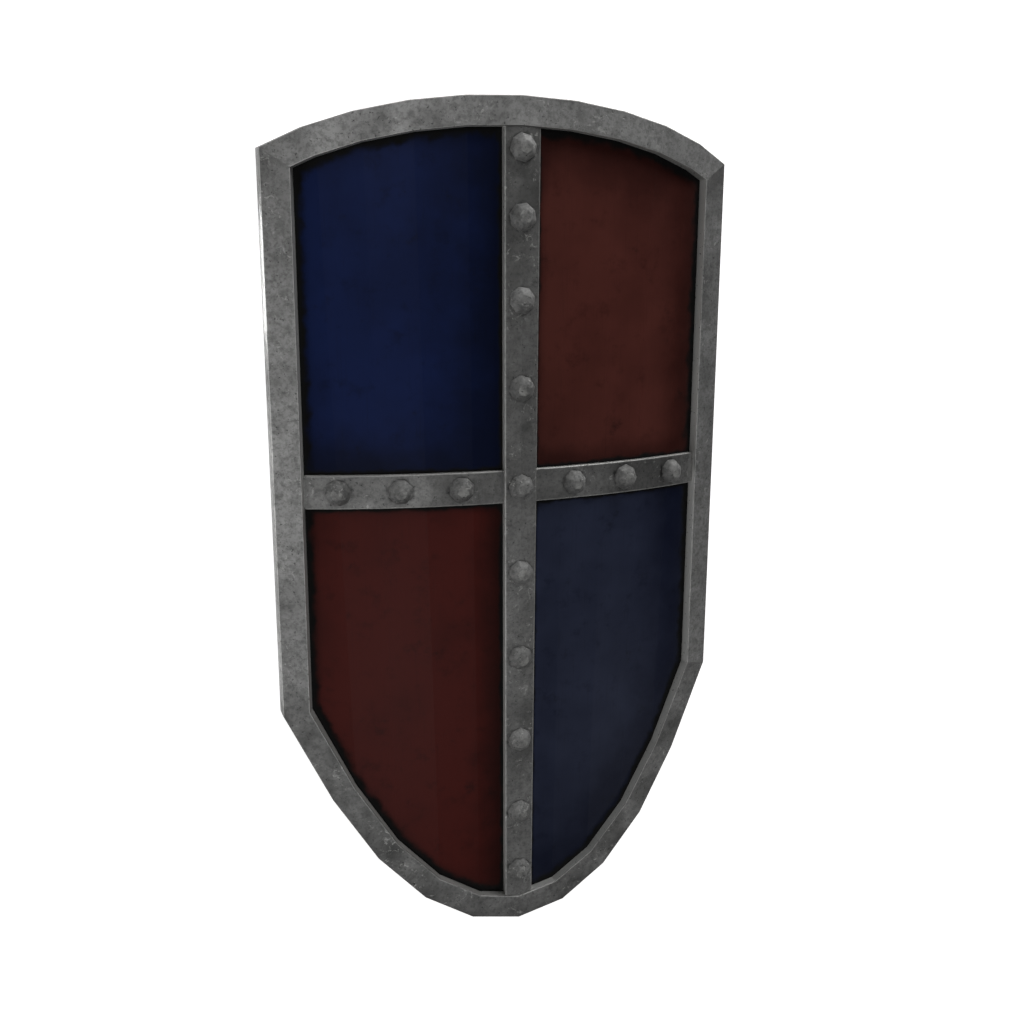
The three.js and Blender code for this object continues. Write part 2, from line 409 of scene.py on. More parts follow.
def volume(draft: Draft) -> float:
    """Signed volume of a closed draft.

    Args:
        draft: The draft.

    Returns:
        The volume, which is positive when the faces point outward.
    """
    total = 0.0
    for corners in draft.faces:
        first = draft.points[corners[0]]
        for k in range(1, len(corners) - 1):
            total += first.dot(draft.points[corners[k]].cross(draft.points[corners[k + 1]]))
    return total / 6


def outward(draft: Draft) -> Draft:
    """Turns the faces of a closed draft to point outward.

    Args:
        draft: The draft.

    Returns:
        The same draft.
    """
    if volume(draft) < 0:
        draft.faces = [corners[::-1] for corners in draft.faces]
    return draft


def along(values: Sequence[float], share: float) -> float:
    """Reads a row of evenly spaced values.

    Args:
        values: The values.
        share: How far along the row, from 0 to 1.

    Returns:
        The value there.
    """
    place = share * (len(values) - 1)
    k = min(int(place), len(values) - 2)
    return values[k] + (values[k + 1] - values[k]) * (place - k)


def hammered(point: Vector, depth: float, size: float, seed: float) -> float:
    """Unevenness that a hammer leaves.

    Args:
        point: Where, in millimetres.
        depth: How deep the marks go.
        size: Width of one mark.
        seed: Shifts the pattern, so that pieces differ.

    Returns:
        How far the surface stands out there.
    """
    finer, fine_share = 0.37, 0.25
    broad = noise.noise(point / size + Vector((seed, -seed, finer * seed)))
    fine = noise.noise(point / (size * finer) - Vector((seed, 0.0, seed)))
    return depth * ((1 - fine_share) * broad + fine_share * fine)


# ---------------------------------------------------------------- finishes


@dataclass(frozen=True)
class Layer:
    """One layer over a finish, in patches.

    The patches are about size_mm across. They begin to show where their noise passes low and
    are at full strength where it passes high. An attribute of the mesh that the layer follows
    is added to the noise, so that the patches gather there with a ragged edge. A layer with
    fields shows only in larger areas, which lie about fields_mm apart.
    """

    colour: str
    size_mm: float
    low: float
    high: float
    strength: float
    detail: float = 4.0
    crumble: float = 0.6
    bend: float = 0.0
    stretch: float = 1.0
    fields_mm: float = 0.0
    follows: str = ""
    rougher: float = 0.0
    raised: float = 0.0
    field_edge: tuple[float, float] = (0.47, 0.6)  # noise at which a field begins and is full

    def share(self, tree: bpy.types.NodeTree, at: bpy.types.NodeSocket) -> bpy.types.NodeSocket:
        """How much of the layer shows.

        Args:
            tree: The material's tree.
            at: Object coordinates.

        Returns:
            A value from 0 to the layer's strength.
        """
        add = partial(add_node, tree)
        if self.stretch != 1:
            at = add("ShaderNodeMapping", {"Vector": at, "Scale": (1, 1 / self.stretch, 1)})
        pattern: dict[str, Any] = {"Vector": at, "Scale": per_metre(self.size_mm)}
        pattern |= {"Detail": self.detail, "Roughness": self.crumble, "Distortion": self.bend}
        value = add("ShaderNodeTexNoise", pattern)
        if self.follows:
            pull = add("ShaderNodeAttribute", out="Fac", attribute_name=self.follows)
            value = add("ShaderNodeMath", {0: value, 1: pull}, operation="ADD")
        reach: dict[str, Any] = {"Value": value, "From Min": self.low, "From Max": self.high}
        reach["To Max"] = self.strength
        share = add("ShaderNodeMapRange", reach, interpolation_type="SMOOTHSTEP")
        if self.fields_mm:
            fields = add("ShaderNodeTexNoise", {"Vector": at, "Scale": per_metre(self.fields_mm)})
            low, high = self.field_edge
            reach = {"Value": fields, "From Min": low, "From Max": high}
            fields = add("ShaderNodeMapRange", reach, interpolation_type="SMOOTHSTEP")
            share = add("ShaderNodeMath", {0: share, 1: fields}, operation="MULTIPLY")
        return share


@dataclass(frozen=True)
class Finish:
    """A finish made of layers over a base colour."""

    name: str
    base: str
    layers: tuple[Layer, ...]
    roughness: float
    bump_mm: float
    metallic: float = 0.0
    ior: float = 1.5
    specular: float = 0.5

    def material(self) -> bpy.types.Material:
        """Builds the material.

        Returns:
            The material, which reads object coordinates and the attributes of the mesh.
        """
        made = bpy.data.materials.new(self.name)
        made.use_nodes = True
        tree = made.node_tree
        tree.nodes.clear()
        add = partial(add_node, tree)
        at = add("ShaderNodeTexCoord", out="Object")
        colour: Any = linear(self.base)
        rough: Any = self.roughness
        height: Any = 0.0
        for layer in self.layers:
            share = layer.share(tree, at)
            mixed = {"Factor": share, 6: colour, 7: linear(layer.colour)}
            colour = add("ShaderNodeMix", mixed, out=2, data_type="RGBA")
            rougher = {0: share, 1: layer.rougher, 2: rough}
            rough = add("ShaderNodeMath", rougher, operation="MULTIPLY_ADD")
            raised = {0: share, 1: layer.raised, 2: height}
            height = add("ShaderNodeMath", raised, operation="MULTIPLY_ADD")
        relief = {"Strength": 1.0, "Distance": self.bump_mm * MM, "Height": height}
        values = {"Base Color": colour, "Metallic": self.metallic, "Roughness": rough}
        values["Normal"] = add("ShaderNodeBump", relief)
        if not self.metallic:
            values |= {"IOR": self.ior, "Specular IOR Level": self.specular}
        shader = add("ShaderNodeBsdfPrincipled", values)
        add("ShaderNodeOutputMaterial", {"Surface": shader})
        return made


def forged_iron(
    name: str, base: str, cloud: str, crown: float = 0.0, roughness: float = 0.55
) -> Finish:
    """Forged iron, brushed back from its black scale and knocked about in use.

    It gives a dull mid grey in soft clouds with a fine mottle, darker in places by a tone set
    place by place. There are pale scuffs in clusters, paler worn edges, walls painted pale as
    painted light, dark specks where scale is left, and soot with painted shade in the groove and
    round the rivets.

    Args:
        name: Name of the finish.
        base: Its colour.
        cloud: The darker colour of its clouds.
        crown: How much more than an edge a rivet's crown is burnished.
        roughness: How dull it is.

    Returns:
        The finish.
    """
    return Finish(
        name=name,
        base=base,
        layers=(
            # Broad clouds, and a darker tone set place by place along each piece.
            Layer(cloud, 52.0, 0.40, 0.62, 0.6, 3, rougher=0.03),
            Layer("#4a4a49", 40.0, 0.5, 1.5, 1.0, 2, follows="patina"),
            # A mottle of shallow pits that scale has left. Real ones are about a millimetre
            # across, and they are drawn coarser here so that they show.
            Layer("#5c5c5b", 8.0, 0.42, 0.68, 0.5, 6, 0.72, rougher=0.05, raised=-0.4),
            Layer("#484848", 3.6, 0.46, 0.66, 0.34, 3, 0.7, rougher=0.03, raised=-0.3),
            Layer("#4c4c4b", 30.0, 0.56, 0.74, 0.55, 6, 0.66, rougher=0.05),
            # Pale scuffs in clusters, rubbed edges and crowns, and painted light that makes the
            # walls pale.
            Layer("#c6c6c3", 7.0, 0.565, 0.66, 0.55, 4, 0.68, 1.2, fields_mm=34.0, rougher=-0.05),
            Layer("#c8c8c5", 13.0, 1.22, 1.5, 0.32 + crown, 5, 0.66, follows="wear", rougher=-0.06),
            Layer("#dededb", 20.0, 1.9, 2.3, 0.78, 2, follows="wear"),
            # Specks of black scale, and soot with painted shade, darkest in the rim's groove, round
            # the rivets on the bars and at the feet of their heads.
            Layer("#303030", 3.4, 0.655, 0.70, 0.6, 2, rougher=0.1, raised=-1.0),
            Layer("#121212", 9.0, 0.95, 1.6, 0.95, follows="soot", rougher=0.15),
        ),
        roughness=roughness,
        bump_mm=0.16,
        metallic=1.0,
    )


def oil_paint(name: str, base: str, deep: str) -> Finish:
    """Linseed oil paint, brushed along the staves and gone dull with age.

    It gives a dark colour with very little gloss, clouded by old dirt and darkened toward the
    iron by painted shade, with a soft near-black band of grime and painted shade along every edge.

    Args:
        name: Name of the finish.
        base: Its colour.
        deep: Its deeper colour, for the clouds of dirt and the painted shade beside the iron.

    Returns:
        The finish.
    """
    return Finish(
        name=name,
        base=base,
        layers=(
            # Clouds of old dirt, and painted shade in the deeper colour toward the iron.
            Layer(deep, 110.0, 0.42, 0.7, 0.35, 3),
            Layer(deep, 24.0, 0.52, 0.74, 0.5, 6, 0.66),
            Layer(deep, 60.0, 0.5, 1.5, 1.0, follows="shade"),
            # Dark smudges, and the marks of the brush along the staves. Real bristles leave
            # about half a millimetre, and they are drawn coarser here so that they show.
            Layer("#070707", 34.0, 0.58, 0.8, 0.6, 6, 0.7),
            Layer("#060606", 1.8, 0.55, 0.75, 0.14, 3, stretch=30.0, raised=-0.6),
            # The band of grime and painted shade beside the iron, near-black where the board meets
            # it.
            Layer("#080808", 16.0, 0.84, 1.34, 1.0, crumble=0.5, follows="grime", rougher=0.2),
        ),
        roughness=0.46,
        bump_mm=0.1,
        ior=1.47,
        specular=0.1,
    )


BARE_LIMEWOOD = Finish(
    # Limewood planed and left bare: pale brown with fine straight grain, dulled by handling.
    name="bare_limewood",
    base="#a88761",
    layers=(
        # Broad grain, the fine lines of the year rings, and stains from hands.
        Layer("#7c5b3a", 6.0, 0.40, 0.66, 0.7, bend=0.4, stretch=26.0, raised=-0.5),
        Layer("#5d4229", 1.6, 0.52, 0.72, 0.5, 2, stretch=40.0, raised=-0.5),
        Layer("#3a2a1c", 90.0, 0.46, 0.72, 0.55, 5, 0.62, rougher=0.05),
    ),
    roughness=0.68,
    bump_mm=0.2,
)


# ---------------------------------------------------------------- sub-assemblies


@dataclass
class Bars:
    """The two iron bars laid crosswise on the board.

    The upright runs the whole length, bent along the middle ridge. The crossbar is thinner,
    bends on each ridge and passes under the upright, which is halved over it.
    """

    form: Form
    upright_height: float = 8.5
    upright_top_width: float = 38.2
    upright_foot_width: float = 32.8
    crossbar_height: float = 5.0
    crossbar_width: float = 36.0
    crossing_y: float = 69.0
    edge_radius: float = 1.1
    ease: float = 2.2  # how many radii from the wall the wear of an edge ends
    corner_radius: float = 2.2
    corner_stops: tuple[float, ...] = (0.35, 1.1, 2.2)
    notch_clearance: float = 2.5
    notch_step: float = 0.01  # keeps the two rings at an edge of the notch apart
    pitch: float = 7.0
    dent: float = 0.22
    dent_size: float = 26.0
    dented_above: float = 1.5  # the level below which no hammer reaches
    # Painted shade round each rivet on the bar, drawn as soot: its darkness, its reach and its
    # fade.
    soot: float = 0.7
    soot_and_shade_reach: float = 20.0
    soot_and_shade_fade: float = 5.0
    # Tone set place by place along each bar, darker where the value is higher.
    upright_patina: tuple[float, ...] = (0.58, 0.46, 0.34, 0.22, 0.34, -0.06, 0.52, 0.10, 0.16)
    crossbar_patina: tuple[float, ...] = (-0.2, -0.3, 0.46, 0.36, 0.28, 0.64, -0.1)
    iron: Finish = forged_iron("forged_iron_bars", "#8c8c8b", "#757574")

    def upright_half_width(self, y: float) -> float:
        """Half width of the upright, which narrows toward the foot.

        Args:
            y: Where along it.

        Returns:
            Half its width there.
        """
        reach = self.form.rim_width + self.form.gap
        top = self.form.top_row(reach)[self.form.flats].y
        foot = self.form.foot_row(reach)[self.form.flats].y
        change = self.upright_foot_width - self.upright_top_width
        return (self.upright_top_width + change * ((top - y) / (top - foot))) / 2

    def crossbar_reach(self, y: float) -> float:
        """Half length of the crossbar at y."""
        corners = self.form.inset(self.form.rim_width + self.form.gap)
        return x_between(corners[self.form.columns - 1], corners[self.form.columns], y)

    def section(self, half: float, bottom: float, top: float) -> list[tuple[float, float, float]]:
        """Section of a bar with rounded upper edges.

        Args:
            half: Half its width.
            bottom: Level of its underside above the board.
            top: Level of its face above the board.

        Returns:
            Points (across, level, wear and painted wall light) from the lower left, over the top,
            to the lower right.
        """
        radius, eased = self.edge_radius, self.ease * self.edge_radius
        inner = half - eased
        # The walls are painted pale: painted light that stands in for light they don't get.
        left = [(-half, level, PAINTED_WALL_LIGHT) for level in (bottom, (bottom + top) / 2, top - 2 * radius)]
        left += [(-half + across, top - down, 1.0) for across, down in quarter_round(radius)]
        left.append((-half + eased, top, 0.35))
        middle = [(-inner + 2 * inner * k / 6, top, 0.0) for k in range(1, 6)]
        return left + middle + [(-across, level, wear_and_light) for across, level, wear_and_light in reversed(left)]

    def sweep(
        self,
        rings: Sequence[Sequence[tuple[Vector, float, float]]],
        seats: Sequence[Vector],
        creases: Iterable[int],
        patina: Sequence[float],
        seed: float,
    ) -> Draft:
        """A closed bar through rings of points.

        Args:
            rings: Rings along the bar, each point with its level and its wear, which on the walls
                is painted light.
            seats: Where rivets sit, round which soot and painted shade darken the bar.
            creases: Places in the rings that run along a ridge of the board.
            patina: How dark the iron is toned, at even steps along the bar.
            seed: Shifts the hammer marks.

        Returns:
            The draft of the bar.
        """
        draft = Draft()
        count = len(rings[0])
        for k, ring in enumerate(rings):
            tone = along(patina, k / (len(rings) - 1))
            for base, level, wear_and_light in ring:
                point = self.form.lift(base, level - self.form.recess)
                if level > self.dented_above:
                    dent = hammered(point, self.dent, self.dent_size, seed)
                    point += self.form.out(base.x) * dent
                # Painted shade round each rivet, drawn as soot.
                near = min((seat - point).length for seat in seats)
                soot = self.soot * clamp((self.soot_and_shade_reach - near) / self.soot_and_shade_fade)
                draft.add(point, wear=wear_and_light, soot=soot, patina=tone)
        for k in range(len(rings) - 1):
            for j in range(count):
                a, b = k * count + j, k * count + (j + 1) % count
                draft.face((a, b, b + count, a + count))
            for j in creases:
                draft.sharp.add(frozenset((k * count + j, (k + 1) * count + j)))
        draft.face(range(count)[::-1])
        draft.face(range((len(rings) - 1) * count, len(rings) * count))
        return outward(draft)

    def upright_stops(self, top: float, foot: float) -> list[tuple[float, float]]:
        """Places of the upright's rings, which step up where it is halved over the crossbar.

        Args:
            top: Where its top end is.
            foot: Where its foot is.

        Returns:
            Each ring's y and the level of its underside, from the top end down.
        """
        gap = self.form.gap
        half_cross, halved = self.crossbar_width / 2 + gap, self.crossbar_height + gap
        notch = [self.crossing_y + half_cross, self.crossing_y - half_cross]
        stops = []
        steps = round((top - foot) / self.pitch)
        for k in range(steps + 1):
            y = top + (foot - top) * k / steps
            if all(abs(y - edge) > self.notch_clearance for edge in notch):
                stops.append((y, halved if notch[1] < y < notch[0] else gap))
        for edge, outside in zip(notch, (self.notch_step, -self.notch_step)):
            stops += [(edge + outside, gap), (edge - outside, halved)]
        return sorted(stops, reverse=True)

    def upright(self, seats: Sequence[Vector]) -> Draft:
        """The upright bar, whose ends follow the rim's window.

        Args:
            seats: Where its rivets sit.

        Returns:
            The draft of the bar.
        """
        form, middle = self.form, self.form.flats
        reach = form.rim_width + form.gap
        top, foot = form.top_row(reach), form.foot_row(reach)
        stops = self.upright_stops(top[middle].y, foot[middle].y)
        slopes = {0: top, len(stops) - 1: foot}
        rings = []
        for k, (y, bottom) in enumerate(stops):
            section = self.section(self.upright_half_width(y), bottom, self.upright_height)
            section.append((0.0, bottom, 0.0))
            ring = []
            for across, level, wear_and_light in section:
                at = y
                if k in slopes:
                    ridge, beside = slopes[k][middle : middle + 2]
                    at += (beside.y - ridge.y) * abs(across) / beside.x
                ring.append((form.on_flats(across, at), level, wear_and_light))
            rings.append(ring)
        crease = len(rings[0]) // 2 - 1
        return self.sweep(rings, seats, [crease], self.upright_patina, seed=3.1)

    def crossbar(self, seats: Sequence[Vector]) -> Draft:
        """The crossbar, with rounded corners at its ends.

        Args:
            seats: Where its rivets sit.

        Returns:
            The draft of the bar.
        """
        form, radius = self.form, self.corner_radius
        rings = []
        for x, ridge in self.crossbar_stops():
            end = self.crossbar_reach(self.crossing_y) - abs(x)
            over = max(0.0, radius - end)
            trim = max(0.0, radius - math.sqrt(max(0.0, radius**2 - over**2)))
            section = self.section(self.crossbar_width / 2 - trim, form.gap, self.crossbar_height)
            ring = []
            for across, level, wear_and_light in section:
                y = self.crossing_y + across
                ring.append((form.on_flats(self.crossbar_x(x, ridge, y), y), level, wear_and_light))
            rings.append(ring)
        return self.sweep(rings, seats, [], self.crossbar_patina, seed=8.7)

    def crossbar_stops(self) -> list[tuple[float, int]]:
        """Places of the crossbar's rings.

        Returns:
            Each ring's x and the ridge that it sits on, or -1, from left to right.
        """
        row = self.form.ridge_row(self.crossing_y)
        reach = self.crossbar_reach(self.crossing_y)
        ridges = [(point.x, k) for k, point in enumerate(row) if abs(point.x) < reach - 1]
        knots = [(-reach, -1), *ridges, (reach, -1)]
        stops = []
        for (x0, ridge), (x1, _) in zip(knots, knots[1:]):
            steps = max(1, round((x1 - x0) / self.pitch))
            stops += [(x0 + (x1 - x0) * k / steps, -1 if k else ridge) for k in range(steps)]
        stops.append(knots[-1])
        for inward in self.corner_stops:
            stops += [(-reach + inward, -1), (reach - inward, -1)]
        return sorted(stops)

    def crossbar_x(self, x: float, ridge: int, y: float) -> float:
        """Where a ring of the crossbar stands at y: on its ridge, or scaled with the reach.

        Args:
            x: Where the ring crosses the middle of the bar.
            ridge: The ridge that it sits on, or -1.
            y: Where along the shield.

        Returns:
            The x of the ring there.
        """
        if ridge >= 0:
            return self.form.ridge_row(y)[ridge].x
        return x * self.crossbar_reach(y) / self.crossbar_reach(self.crossing_y)

    def build(
        self, upright_seats: Sequence[Vector], crossbar_seats: Sequence[Vector]
    ) -> list[bpy.types.Object]:
        """Builds both bars and puts them on the frame.

        Args:
            upright_seats: Where the rivets of the upright sit.
            crossbar_seats: Where those of the crossbar sit.

        Returns:
            The upright and the crossbar.
        """
        iron = self.iron.material()
        upright = self.upright(upright_seats).finish("upright_bar", [iron], SMOOTH_TO)
        crossbar = self.crossbar(crossbar_seats).finish("crossbar", [iron], SMOOTH_TO)
        for piece, node in ((upright, "upright_band"), (crossbar, "cross_band")):
            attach(piece, BODY)
            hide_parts(node)
        return [upright, crossbar]


@dataclass(frozen=True)
class Fade:
    """How far painted shade darkens the paint of a quarter beside the iron, in millimetres."""

    upright: float
    crossbar: float
    rim: float


@dataclass
class Board:
    """The painted board, ten flats across, with its staves bare at the back.

    One film of paint covers the joints in front. Behind, a small groove shows each joint.
    """

    form: Form
    bars: Bars
    groove: float = 3.9
    steps_across: int = 8
    row_pitch: float = 5.0
    joint_half_width: float = 1.0
    joint_depth: float = 0.8
    flat_width: float = 52.0
    side_share: float = 0.42
    # Reach of the near-black band of grime and painted shade beside the rim and the bars.
    rim_grime: float = 17.0
    bar_grime: float = 9.0
    fades: dict[Quarter, Fade] = field(
        default_factory=lambda: {
            Quarter.BLUE: Fade(100.0, 62.0, 12.0),
            Quarter.RED_WITH_SHEEN: Fade(12.0, 30.0, 78.0),
            Quarter.RED: Fade(48.0, 10.0, 14.0),
            Quarter.BLUE_WITH_SHEEN: Fade(4.0, 6.0, 84.0),
        }
    )
    blue: Finish = oil_paint("blue_oil_paint", "#0d1b43", "#020922")
    red: Finish = oil_paint("red_oil_paint", "#421410", "#240806")
    # The upper right red and the lower right blue are greyed: a painted sheen over their paint.
    red_with_sheen: Finish = oil_paint("red_oil_paint_with_painted_sheen", "#4a2520", "#2b110e")
    blue_with_sheen: Finish = oil_paint("blue_oil_paint_with_painted_sheen", "#252a3c", "#0b1022")
    wood: Finish = BARE_LIMEWOOD

    def held_row(self, edge: Sequence[Vector]) -> list[Vector]:
        """The board's top or foot edge in the rim's groove.

        Args:
            edge: Face points over the edge, from left to right.

        Returns:
            The same points, with one more at each end that leads to the window's side.
        """
        left = edge[0].lerp(edge[1], self.side_share)
        right = edge[-1].lerp(edge[-2], self.side_share)
        return [edge[0], left, *edge[1:-1], right, edge[-1]]

    def window_row(self, ridges: Sequence[Vector]) -> list[Vector]:
        """A row across the window, carried on under the rim at both sides.

        Args:
            ridges: Where the row crosses the ridges.

        Returns:
            The row, with one more point at each end.
        """
        held = self.groove + self.form.gap
        ends = []
        for side in (0, -1):
            top, foot = self.form.top_row(held)[side], self.form.foot_row(held)[side]
            ends.append(top.lerp(foot, (top.y - ridges[side].y) / (top.y - foot.y)))
        return [ends[0], *ridges, ends[1]]

    def rows(self) -> list[list[Vector]]:
        """Rows of corners across the board, which keep to the edges of the crossbar.

        Returns:
            The rows, from the top edge to the foot.
        """
        form = self.form
        half = self.bars.crossbar_width / 2
        main = [
            self.held_row(form.top_row(self.groove + form.gap)),
            self.window_row(form.top_row(form.rim_width)),
            self.window_row(form.ridge_row(self.bars.crossing_y + half)),
            self.window_row(form.ridge_row(self.bars.crossing_y - half)),
            self.window_row(form.foot_row(form.rim_width)),
            self.held_row(form.foot_row(self.groove + form.gap)),
        ]
        rows = []
        for upper, lower in zip(main, main[1:]):
            middle = len(upper) // 2
            steps = max(2, round((upper[middle].y - lower[middle].y) / self.row_pitch))
            for k in range(steps):
                rows.append([a.lerp(b, k / steps) for a, b in zip(upper, lower)])
        rows.append(main[-1])
        return rows

    def shares(self) -> list[float]:
        """Places across one flat, closer together beside its ridges.

        Returns:
            Shares of its width, from 0.
        """
        near = self.joint_half_width / self.flat_width
        inner = [k / self.steps_across for k in range(1, self.steps_across)]
        return [0.0, near, *inner, 1 - near]

    def quarter(self, x: float, y: float) -> Quarter:
        """The paint at a place in front.

        Args:
            x: Where across the board.
            y: Where along it.

        Returns:
            The quarter.
        """
        if y > self.bars.crossing_y:
            return Quarter.BLUE if x < 0 else Quarter.RED_WITH_SHEEN
        return Quarter.RED if x < 0 else Quarter.BLUE_WITH_SHEEN

    def grime_and_painted_shade(self, point: Vector, window: Sequence[Vector]) -> tuple[float, float]:
        """Grime and painted shade at a point of the face, from how near the iron is.

        Args:
            point: A point of the board.
            window: Corners of the rim's inner edge.

        Returns:
            Grime with painted shade, 1 beside the iron and 0 away from it, and the same for the
            wider painted shade.
        """
        upright = abs(point.x) - self.bars.upright_half_width(point.y)
        crossbar = abs(point.y - self.bars.crossing_y) - self.bars.crossbar_width / 2
        rim = math.inf
        for k, corner in enumerate(window):
            side = window[(k + 1) % len(window)] - corner
            inward = Vector((-side.y, side.x)).normalized()
            rim = min(rim, inward.dot(point.xy - corner))
        near = min(rim / self.rim_grime, min(upright, crossbar) / self.bar_grime)
        grime = 1 - clamp(near)
        fade = self.fades[self.quarter(point.x, point.y)]
        clear = 1.0
        for gap, reach in ((upright, fade.upright), (crossbar, fade.crossbar), (rim, fade.rim)):
            clear *= clamp(gap / reach)
        return grime, 1 - clear

    def draft(self) -> Draft:
        """The closed mesh of the board.

        Returns:
            Its draft, with the painted front, the bare back and the border between them.
        """
        form = self.form
        window = form.inset(form.rim_width)
        shares = self.shares()
        draft = Draft()
        lines = []
        for row in self.rows():
            flats = enumerate(zip(row, row[1:]))
            line = [(a.lerp(b, share), k, share) for k, (a, b) in flats for share in shares]
            line.append((row[-1], form.columns + 1, 0.0))
            lines.append(line)
        width = len(lines[0])
        for line in lines:
            for base, _, _ in line:
                # Grime and painted shade beside the iron.
                grime, shade = self.grime_and_painted_shade(base, window)
                draft.add(form.lift(base, -form.recess), grime=grime, shade=shade)
        behind = len(draft.points)
        for line in lines:
            for base, column, share in line:
                joint = share == 0.0 and 1 < column < form.columns and column != form.flats + 1
                depth = form.recess + form.board - (self.joint_depth if joint else 0.0)
                draft.add(form.lift(base, -depth), grime=0.0, shade=0.0)
        for k in range(len(lines) - 1):
            for j in range(width - 1):
                a = k * width + j
                front = (a, a + width, a + width + 1, a + 1)
                x = (draft.points[a].x + draft.points[a + 1].x) / 2
                y = (draft.points[a].y + draft.points[a + width].y) / 2
                draft.face(front, self.quarter(x, y).value)
                draft.face([behind + corner for corner in front[::-1]], Quarter.BARE.value)
                if lines[k][j][2] == 0.0:
                    draft.sharp.add(frozenset((a, a + width)))
        border = list(range(width))
        border += [k * width + width - 1 for k in range(1, len(lines))]
        border += [(len(lines) - 1) * width + j for j in range(width - 2, -1, -1)]
        border += [k * width for k in range(len(lines) - 2, 0, -1)]
        for a, b in zip(border, border[1:] + border[:1]):
            draft.face((a, b, behind + b, behind + a), Quarter.BARE.value)
        return outward(draft)

    def build(self, staves: Sequence[str]) -> bpy.types.Object:
        """Builds the board and puts it on the frame.

        Args:
            staves: The nodes that it stands for.

        Returns:
            The board.
        """
        by_quarter = (self.blue, self.red, self.blue_with_sheen, self.wood, self.red_with_sheen)
        finishes = [finish.material() for finish in by_quarter]
        board = self.draft().finish("painted_board", finishes, SMOOTH_TO)
        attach(board, BODY)
        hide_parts(*staves)
        return board


